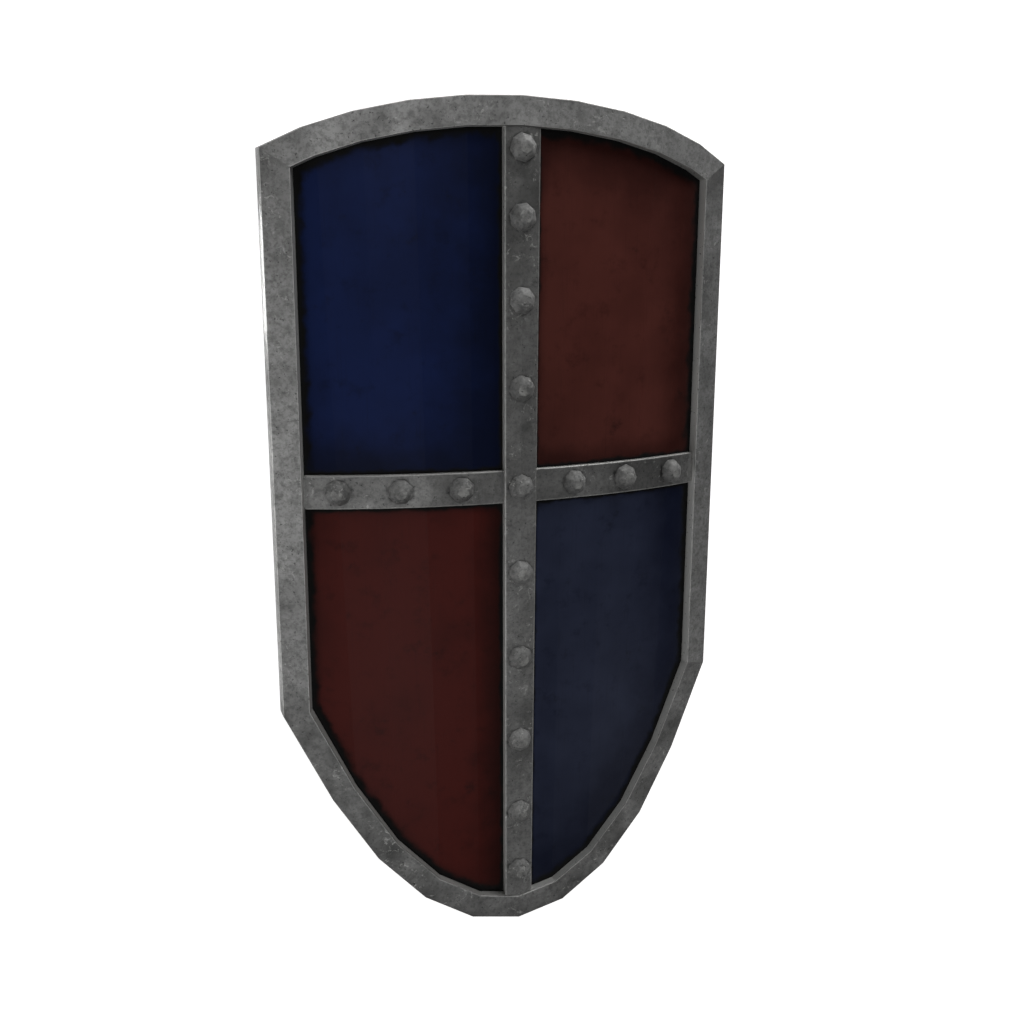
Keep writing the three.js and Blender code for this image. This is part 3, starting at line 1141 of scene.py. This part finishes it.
@dataclass
class Rim:
    """The iron rim, a U-section mitred at every corner of the outline."""

    form: Form
    groove: float = 3.9
    lip: float = 22.0
    flare: float = 1.6
    outer_radius: float = 0.7
    inner_radius: float = 0.8
    back_radius: float = 0.8
    ease: float = 2.3  # how many radii from a wall the wear of an edge ends
    pitch: float = 9.0
    dent: float = 0.3
    dent_size: float = 34.0
    dented_within: tuple[float, float] = (0.9, 7.0)  # least inset and greatest depth
    iron: Finish = forged_iron("forged_iron_rim", "#a6a6a5", "#8c8c8b")
    # Tone set place by place round the rim, lighter along the top and darker along the foot.
    left_patina: tuple[float, ...] = (0.36, 0.17, -0.12, -0.2, 0.22, 0.17, 0.56)
    right_patina: tuple[float, ...] = (0.22, 0.24, 0.24, 0.26, 0.46)
    top_patina: tuple[float, ...] = (-0.4, 0.04, 0.12, 0.20, 0.31, -0.02)
    foot_patina: tuple[float, ...] = (0.52, 0.59, 0.70, 0.53, 0.52, 0.55, 0.56, 0.60, 0.54, 0.35)

    def section(self) -> list[tuple[float, float, float, float]]:
        """Section of the rim, without its outer wall.

        Returns:
            Points (inset, depth, wear and painted wall light, soot and painted shade) from the
            outer front edge round to the back face.
        """
        form = self.form
        width, wall = form.rim_width, form.recess - form.gap
        behind = form.recess + form.board + form.gap
        outer, inner = self.outer_radius, self.inner_radius
        points = [(across, down, 1.0, 0.0) for across, down in quarter_round(outer)]
        first, last = self.ease * outer, width - self.ease * inner
        for k in range(6):
            points.append((first + (last - first) * k / 5, 0.0, 0.3 if k in (0, 5) else 0.0, 0.0))
        points += [(width - down, across, 1.0, 0.0) for across, down in quarter_round(inner)]
        return points + [
            # The inner wall is painted pale: painted light that stands in for light it doesn't get.
            (width, 1.8 * inner, PAINTED_WALL_LIGHT, 0.0),
            (width, wall * 0.6, PAINTED_WALL_LIGHT, 0.0),
            (width, wall, PAINTED_WALL_LIGHT, 0.1),
            # The groove and the inside of the back take painted shade, drawn as soot.
            (self.groove, wall, 0.0, 1.0),
            (self.groove, behind, 0.0, 1.0),
            (self.lip, behind, 0.0, 0.6),
            (self.lip, form.rim_depth - self.back_radius, 0.4, 0.1),
            (self.lip - self.back_radius, form.rim_depth, 0.6, 0.0),
            (self.lip * 0.5, form.rim_depth, 0.0, 0.0),
        ]

    def outer_wall(self) -> list[tuple[list[Vector], float]]:
        """The outer wall, straight under the front outline, which leans out by its flare.

        Returns:
            Its rings with their wear, from the back edge up to the front.
        """
        form, radius = self.form, self.back_radius
        top = form.rim_depth - 2.4 * self.outer_radius
        rings = []
        for out, up, wear_and_light in (
            (self.flare - radius, 0.0, 0.6),
            (self.flare - radius * 0.3, radius * 0.3, 1.0),
            (self.flare, radius, 0.6),
            (self.flare * 0.5, form.rim_depth / 2, 0.0),
            (self.flare * 0.1, top, 0.1),
        ):
            fronts = zip(form.inset(-out), map(form.on_face, form.outline()))
            ring = [Vector((*corner, front.z - form.rim_depth + up)) for corner, front in fronts]
            rings.append((ring, wear_and_light))
        return rings

    def shares(self, length: float) -> list[float]:
        """Places along one side of the outline."""
        steps = max(1, round(length / self.pitch))
        return [k / steps for k in range(steps)]

    def patina_at(self, place: float) -> float:
        """How dark the iron is toned at a place round the rim.

        Args:
            place: The number of the side, and the share of it that lies behind.

        Returns:
            A value that is bright up to 0 and darkest at 1.
        """
        sides = 2 * self.form.flats
        if place < sides:
            tones, share = self.foot_patina, place / sides
        elif place < sides + 1:
            tones, share = self.right_patina, place - sides
        elif place < 2 * sides + 1:
            tones, share = self.top_patina, (place - sides - 1) / sides
        else:
            tones, share = self.left_patina, place - 2 * sides - 1
        return along(tones, share)

    def draft(self) -> Draft:
        """The closed mesh of the rim.

        Returns:
            Its draft.
        """
        form = self.form
        rings: list[tuple[list[Vector], float, float, bool]] = []
        inner, deepest = self.dented_within
        for inset_by, depth, wear_and_light, soot in self.section():
            ring = [form.lift(form.on_face(corner), -depth) for corner in form.inset(inset_by)]
            rings.append((ring, wear_and_light, soot, depth < deepest and inset_by > inner))
        rings += [(ring, wear_and_light, 0.0, False) for ring, wear_and_light in self.outer_wall()]
        corners = len(rings[0][0])
        outline = form.outline()
        draft = Draft()
        starts = []
        for k in range(corners):
            after = (k + 1) % corners
            length = (outline[after] - outline[k]).length
            for share in self.shares(length):
                starts.append((len(draft.points), share == 0.0, self.patina_at(k + share)))
                for ring, wear_and_light, soot, marked in rings:
                    point = ring[k].lerp(ring[after], share)
                    push = hammered(point, self.dent, self.dent_size, seed=1.9) if marked else 0.0
                    draft.add(point + form.out(point.x) * push, wear=wear_and_light, soot=soot)
        count = len(rings)
        patina = draft.face_values.setdefault("patina", [])
        for (a, corner, tone), (b, _, _) in zip(starts, starts[1:] + starts[:1]):
            for j in range(count):
                after = (j + 1) % count
                draft.face((a + j, a + after, b + after, b + j))
                patina.append(tone)
                if corner:
                    draft.sharp.add(frozenset((a + j, a + after)))
        return outward(draft)

    def build(self) -> bpy.types.Object:
        """Builds the rim and puts it on the frame.

        Returns:
            The rim.
        """
        rim = self.draft().finish("rim_iron", [self.iron.material()], 33.0)
        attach(rim, BODY)
        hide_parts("rim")
        return rim


@dataclass(frozen=True)
class Seat:
    """Where one rivet sits: on the face of its bar, and behind the board."""

    node: str
    place: Vector
    behind: Vector
    lean: float


@dataclass
class Rivets:
    """Forged rivets with eight-sided domed heads, peened over behind the board.

    A geometry tree draws a head and a peened end out of eight-sided blanks, sets them on
    every seat with a turn of their own, and knocks them a little out of true.
    """

    form: Form
    bars: Bars
    sides: int = 8
    head_radius: float = 14.3
    skirt_radius: float = 13.2
    skirt_height: float = 3.9
    shoulder_radius: float = 10.6
    shoulder_height: float = 7.9
    crown_radius: float = 6.2
    head_height: float = 10.9
    peen_radius: float = 6.3
    peen_height: float = 1.9
    bedding: float = 0.2
    untrue: float = 1.6
    knock_size: float = 11.0
    facet_radius: float = 1.2
    facet_steps: int = 3
    facet_angle: float = 9.0
    weld: float = 0.01
    uneven: float = 0.035
    foot_shade: float = 0.15  # painted shade round the foot of a head
    crown_wear: float = 0.84
    seed: int = 5
    spin_seed: float = 11.0
    steps_up: tuple[float, ...] = (105.0, 90.0, 81.0, 66.0)
    steps_down: tuple[float, ...] = (96.0, 99.0, 100.0, 92.0, 76.0)
    crossbar_pitch: float = 64.0
    crossbar_rivets: int = 3
    iron: Finish = forged_iron("forged_iron_rivets", "#8e8e8d", "#727271", 0.14, 0.78)

    def seat(self, node: str, x: float, y: float, height: float) -> Seat:
        """The seat of one rivet.

        Args:
            node: The node that the rivet stands for.
            x: Where across the shield.
            y: Where along it.
            height: Height of its bar above the board.

        Returns:
            The seat.
        """
        form, base = self.form, self.form.on_flats(x, y)
        place = form.lift(base, height - form.recess)
        return Seat(node, place, form.lift(base, -form.recess - form.board), form.lean(x))

    def upright_seats(self) -> list[Seat]:
        """Seats on the upright.

        Returns:
            The seats, from the top edge to the point.
        """
        ys = [self.bars.crossing_y]
        for step in self.steps_up:
            ys.insert(0, ys[0] + step)
        for step in self.steps_down:
            ys.append(ys[-1] - step)
        height = self.bars.upright_height
        return [self.seat(f"upright_rivet_{k + 1}", 0.0, y, height) for k, y in enumerate(ys)]

    def crossbar_seats(self) -> list[Seat]:
        """Seats on the crossbar.

        Returns:
            The seats, outward from the crossing, those on the left first.
        """
        seats = []
        for side, sign in (("left", -1), ("right", 1)):
            for k in range(1, self.crossbar_rivets + 1):
                node = f"crossbar_rivet_{side}_{k}"
                x = sign * k * self.crossbar_pitch
                seats.append(self.seat(node, x, self.bars.crossing_y, self.bars.crossbar_height))
        return seats

    def sizes(self) -> dict[str, float]:
        """Sizes that the tree takes.

        Returns:
            The sizes in millimetres, by the names of the tree's inputs.
        """
        return {
            "Head Radius": self.head_radius,
            "Skirt Radius": self.skirt_radius,
            "Skirt Height": self.skirt_height,
            "Shoulder Radius": self.shoulder_radius,
            "Shoulder Height": self.shoulder_height,
            "Crown Radius": self.crown_radius,
            "Head Height": self.head_height,
            "Peen Radius": self.peen_radius,
            "Peen Height": self.peen_height,
            "Bedding": self.bedding,
            "Out Of True": self.untrue,
            "Knock Size": self.knock_size,
        }

    def drawn(
        self,
        tree: bpy.types.NodeTree,
        radius: bpy.types.NodeSocket,
        bedding: bpy.types.NodeSocket,
        steps: Iterable[tuple[bpy.types.NodeSocket, bpy.types.NodeSocket]],
        up: float,
    ) -> bpy.types.NodeSocket:
        """Draws a closed form out of an eight-sided blank.

        Args:
            tree: The geometry tree.
            radius: Radius of the blank.
            bedding: How deep the blank is bedded in.
            steps: Height that each step reaches, and the radius there.
            up: 1 to draw upward, -1 to draw downward.

        Returns:
            The socket of the form. Its last face is marked as worn, and its blank with painted
            shade.
        """
        add = partial(add_node, tree)
        start = add("ShaderNodeMath", {0: bedding, 1: -up}, operation="MULTIPLY")
        sizes = {"Vertices": self.sides, "Radius": radius}
        blank = add("GeometryNodeMeshCircle", sizes, fill_type="NGON")
        place = add("ShaderNodeCombineXYZ", {"Z": start})
        blank = add("GeometryNodeTransform", {"Geometry": blank, "Translation": place})
        if up < 0:
            blank = add("GeometryNodeFlipFaces", {"Mesh": blank})
        under = add("GeometryNodeFlipFaces", {"Mesh": blank})
        # Painted shade round the foot of the head, drawn as soot.
        mark = {"Geometry": blank, "Name": "soot", "Value": self.foot_shade}
        form = add("GeometryNodeStoreNamedAttribute", mark)
        top: bool | bpy.types.NodeSocket = True
        level, width = start, radius
        for reach, new_width in steps:
            target = add("ShaderNodeMath", {0: reach, 1: up}, operation="MULTIPLY")
            rise = add("ShaderNodeMath", {0: target, 1: level}, operation="SUBTRACT")
            offset = add("ShaderNodeCombineXYZ", {"Z": rise})
            pull = {"Mesh": form, "Selection": top, "Offset": offset, "Individual": False}
            form = add("GeometryNodeExtrudeMesh", pull, mode="FACES")
            top = form.node.outputs["Top"]
            share = add("ShaderNodeMath", {0: new_width, 1: width}, operation="DIVIDE")
            draw_in = {"Geometry": form, "Selection": top, "Scale": share}
            form = add("GeometryNodeScaleElements", draw_in, domain="FACE")
            mark = {"Geometry": form, "Selection": top, "Name": "soot", "Value": 0.0}
            form = add("GeometryNodeStoreNamedAttribute", mark)
            level, width = target, new_width
        mark = {"Geometry": form, "Selection": top, "Name": "wear", "Value": self.crown_wear}
        form = add("GeometryNodeStoreNamedAttribute", mark)
        joined = add("GeometryNodeJoinGeometry", {0: form})
        tree.links.new(under, joined.node.inputs[0])
        weld = {"Geometry": joined, "Distance": self.weld * MM}
        return add("GeometryNodeMergeByDistance", weld)

    def tree(self, material: bpy.types.Material) -> bpy.types.NodeTree:
        """The geometry tree that makes every rivet from its seats.

        Args:
            material: The finish of the rivets.

        Returns:
            The tree, with its sizes as named inputs in metres.
        """
        tree = bpy.data.node_groups.new("forged_rivets", "GeometryNodeTree")
        tree.interface.new_socket("Geometry", in_out="INPUT", socket_type="NodeSocketGeometry")
        for name in self.sizes():
            tree.interface.new_socket(name, in_out="INPUT", socket_type="NodeSocketFloat")
        tree.interface.new_socket("Seed", in_out="INPUT", socket_type="NodeSocketInt")
        tree.interface.new_socket("Geometry", in_out="OUTPUT", socket_type="NodeSocketGeometry")
        add = partial(add_node, tree)
        given = add("NodeGroupInput").node.outputs
        seed = given["Seed"]

        parts = [("Skirt Height", "Skirt Radius"), ("Shoulder Height", "Shoulder Radius")]
        parts.append(("Head Height", "Crown Radius"))
        steps = [(given[height], given[radius]) for height, radius in parts]
        head = self.drawn(tree, given["Head Radius"], given["Bedding"], steps, 1.0)
        steps = [(given["Peen Height"], given["Peen Radius"])]
        peen = self.drawn(tree, given["Peen Radius"], given["Bedding"], steps, -1.0)

        lean = add("GeometryNodeInputNamedAttribute", {"Name": "lean"}, data_type="FLOAT")
        behind = add("GeometryNodeInputNamedAttribute", {"Name": "behind"}, data_type="BOOLEAN")
        front = add("FunctionNodeBooleanMath", {0: behind}, operation="NOT")
        between = {2: 1 - self.uneven, 3: 1 + self.uneven, "Seed": seed}
        size = add("FunctionNodeRandomValue", between, out=1, data_type="FLOAT")
        turned = add("ShaderNodeCombineXYZ", {"Y": lean})
        seated = []
        for form, chosen in ((head, front), (peen, behind)):
            seating = {"Points": given["Geometry"], "Selection": chosen, "Instance": form}
            seating |= {"Rotation": turned, "Scale": size}
            seated.append(add("GeometryNodeInstanceOnPoints", seating))
        joined = add("GeometryNodeJoinGeometry", {0: seated[0]})
        tree.links.new(seated[1], joined.node.inputs[0])
        other = add("ShaderNodeMath", {0: seed, 1: self.spin_seed}, operation="ADD")
        between = {2: 0.0, 3: 2 * math.pi / self.sides, "Seed": other}
        spin = add("FunctionNodeRandomValue", between, out=1, data_type="FLOAT")
        turned = add("ShaderNodeCombineXYZ", {"Z": spin})
        turning = {"Instances": joined, "Rotation": turned, "Local Space": True}
        spun = add("GeometryNodeRotateInstances", turning)
        real = add("GeometryNodeRealizeInstances", {0: spun})

        often = add("ShaderNodeMath", {0: 1.0, 1: given["Knock Size"]}, operation="DIVIDE")
        where = add("GeometryNodeInputPosition")
        knocks = add("ShaderNodeTexNoise", {"Vector": where, "Scale": often}, out="Color")
        middle = {0: knocks, 1: (0.5, 0.5, 0.5)}
        centred = add("ShaderNodeVectorMath", middle, operation="SUBTRACT")
        reach = {0: centred, "Scale": given["Out Of True"]}
        pushed = add("ShaderNodeVectorMath", reach, operation="SCALE")
        real = add("GeometryNodeSetPosition", {"Geometry": real, "Offset": pushed})
        dressed = add("GeometryNodeSetMaterial", {"Geometry": real, "Material": material})
        add("NodeGroupOutput", {0: dressed})
        return tree

    def seat_points(self, seats: Sequence[Seat]) -> bpy.types.Object:
        """The points that the tree sets heads and peened ends on.

        Args:
            seats: Where the rivets sit.

        Returns:
            An object with a point in front and one behind for each seat.
        """
        points = bpy.data.meshes.new("rivet_seats")
        places = [seat.place for seat in seats] + [seat.behind for seat in seats]
        points.from_pydata([place * MM for place in places], [], [])
        leans = [seat.lean for seat in seats] * 2
        points.attributes.new("lean", "FLOAT", "POINT").data.foreach_set("value", leans)
        sides = [False] * len(seats) + [True] * len(seats)
        points.attributes.new("behind", "BOOLEAN", "POINT").data.foreach_set("value", sides)
        return in_scene("rivet_seats", points)

    def build(self) -> bpy.types.Object:
        """Builds every rivet and puts them on the frame.

        Returns:
            All the rivets as one piece.
        """
        seats = self.upright_seats() + self.crossbar_seats()
        maker = self.seat_points(seats)
        modifier = maker.modifiers.new("rivets", "NODES")
        modifier.node_group = self.tree(self.iron.material())
        given = modifier.node_group.interface.items_tree
        sockets = {item.name: item.identifier for item in given if item.in_out == "INPUT"}
        for name, size in self.sizes().items():
            modifier[sockets[name]] = size * MM
        modifier[sockets["Seed"]] = self.seed
        soften = maker.modifiers.new("facets", "BEVEL")
        soften.width = self.facet_radius * MM
        soften.segments = self.facet_steps
        soften.limit_method = "ANGLE"
        soften.angle_limit = math.radians(self.facet_angle)
        made = maker.evaluated_get(bpy.context.evaluated_depsgraph_get())
        mesh = bpy.data.meshes.new_from_object(made)
        bpy.data.objects.remove(maker)
        mesh.name = "rivets"
        mesh.shade_smooth()
        rivets = in_scene("rivets", mesh)
        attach(rivets, BODY)
        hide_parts(*(seat.node for seat in seats))
        return rivets


# ---------------------------------------------------------------- studio


@dataclass(frozen=True)
class Softbox:
    """A soft light round the shield, which the camera doesn't see.

    It stands at an azimuth and elevation from what it faces, in degrees and metres. It is
    square unless it has a length of its own.
    """

    name: str
    azimuth: float
    elevation: float
    power: float
    size: float = 0.8
    distance: float = 2.4
    aim: tuple[float, float, float] = (0.0, 0.0, 0.035)
    spread: float = 180.0
    length: float = 0.0

    def build(self) -> bpy.types.Object:
        """Builds the light.

        Returns:
            The light.
        """
        lamp = bpy.data.lights.new(self.name, "AREA")
        lamp.shape = "RECTANGLE"
        lamp.size = self.size
        lamp.size_y = self.length or self.size
        lamp.energy = self.power
        lamp.spread = math.radians(self.spread)
        light = in_scene(self.name, lamp)
        azimuth, elevation = math.radians(self.azimuth), math.radians(self.elevation)
        level = math.cos(elevation)
        away = Vector((level * math.cos(azimuth), level * math.sin(azimuth), math.sin(elevation)))
        light.location = Vector(self.aim) + away * self.distance
        light.rotation_euler = away.to_track_quat("Z", "Y").to_euler()
        light.visible_camera = False
        return light


@dataclass
class Studio:
    """A pale floor, soft light and the camera that looks down on the shield."""

    floor_size: float = 14.0
    floor_colour: str = "#f2f2f2"
    floor_glow: float = 0.78
    floor_below: float = 0.2
    sky_light: float = 0.02
    camera_place: tuple[float, float, float] = (-0.32679, 0.3027, 1.03744)
    camera_turn: tuple[float, float, float] = (-14.29, -18.04, 0.2)
    focal_length: float = 34.63
    sensor: float = 36.0
    near_clip: float = 0.01
    lights: tuple[Softbox, ...] = (
        Softbox("top_light", 64.0, 12.0, 56.0, 1.5),
        Softbox("left_light", 192.0, 12.0, 19.0, 1.2),
        Softbox("overhead_light", 120.0, 62.0, 8.6),
        Softbox("foot_light", 240.0, 62.0, 10.5),
        Softbox("right_light", 320.0, 35.0, 5.0),
        # A narrow strip beside the upper left wall, which puts a glint on it.
        Softbox(
            "edge_kicker",
            azimuth=0.0,
            elevation=90.0,
            power=2.6,
            size=0.02,
            distance=0.045,
            aim=(-0.285, 0.288, 0.0),
            spread=50.0,
            length=0.105,
        ),
    )

    def floor(self) -> bpy.types.Object:
        """A matt painted floor that the shield lies on.

        Returns:
            The floor.
        """
        half = self.floor_size / 2
        mesh = bpy.data.meshes.new("floor")
        corners = [(-half, -half, 0), (half, -half, 0), (half, half, 0), (-half, half, 0)]
        mesh.from_pydata(corners, [], [(0, 1, 2, 3)])
        floor = in_scene("floor", mesh)
        floor.location.z = -self.floor_below * MM
        paint = bpy.data.materials.new("matt_floor_paint")
        paint.use_nodes = True
        tree = paint.node_tree
        tree.nodes.clear()
        colour = linear(self.floor_colour)
        values = {"Base Color": colour, "Roughness": 0.9}
        values |= {"Emission Color": colour, "Emission Strength": self.floor_glow}
        matt = add_node(tree, "ShaderNodeBsdfPrincipled", values)
        add_node(tree, "ShaderNodeOutputMaterial", {"Surface": matt})
        mesh.materials.append(paint)
        return floor

    def sky(self) -> None:
        """Faint light from all round, which the camera sees as plain white."""
        world = bpy.data.worlds.new("studio")
        bpy.context.scene.world = world
        world.use_nodes = True
        tree = world.node_tree
        tree.nodes.clear()
        add, white = partial(add_node, tree), linear("#ffffff")
        seen = add("ShaderNodeLightPath", out="Is Camera Ray")
        dim = add("ShaderNodeBackground", {"Color": white, "Strength": self.sky_light})
        bright = add("ShaderNodeBackground", {"Color": white, "Strength": 1.0})
        mixed = add("ShaderNodeMixShader", {0: seen, 1: dim, 2: bright})
        add("ShaderNodeOutputWorld", {"Surface": mixed})

    def camera(self) -> bpy.types.Object:
        """The camera, above the upper left of the shield.

        Returns:
            The camera, which the scene looks through.
        """
        lens = bpy.data.cameras.new("camera")
        lens.lens = self.focal_length
        lens.sensor_width = self.sensor
        lens.clip_start = self.near_clip
        camera = in_scene("camera", lens)
        camera.location = self.camera_place
        camera.rotation_mode = "ZXY"
        camera.rotation_euler = Euler([math.radians(angle) for angle in self.camera_turn], "ZXY")
        bpy.context.scene.camera = camera
        return camera

    def build(self) -> None:
        """Builds the whole studio."""
        self.camera()
        self.floor()
        self.sky()
        for light in self.lights:
            light.build()
        bpy.context.scene.view_settings.view_transform = "Standard"


def report(piece: bpy.types.Object) -> None:
    """Logs a finished piece's size.

    Args:
        piece: The piece.
    """
    vertices, faces = len(piece.data.vertices), len(piece.data.polygons)
    size = [round(side / MM, 1) for side in piece.dimensions]
    LOG.info("%s: %d vertices, %d faces, %s mm", piece.name, vertices, faces, size)


def main() -> None:
    """Builds the shield and the studio."""
    logging.basicConfig(level=logging.INFO, format="%(name)s %(message)s")
    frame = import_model()
    Studio().build()
    form = Form()
    bars = Bars(form)
    rivets = Rivets(form, bars)
    staves = [name for name in frame["nodes"] if name.startswith("stave_")]
    pieces = [
        Board(form, bars).build(staves),
        Rim(form).build(),
        *bars.build(
            [seat.place for seat in rivets.upright_seats()],
            [seat.place for seat in rivets.crossbar_seats()],
        ),
        rivets.build(),
    ]
    for piece in pieces:
        report(piece)
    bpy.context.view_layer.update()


if __name__ == "__main__":
    main()
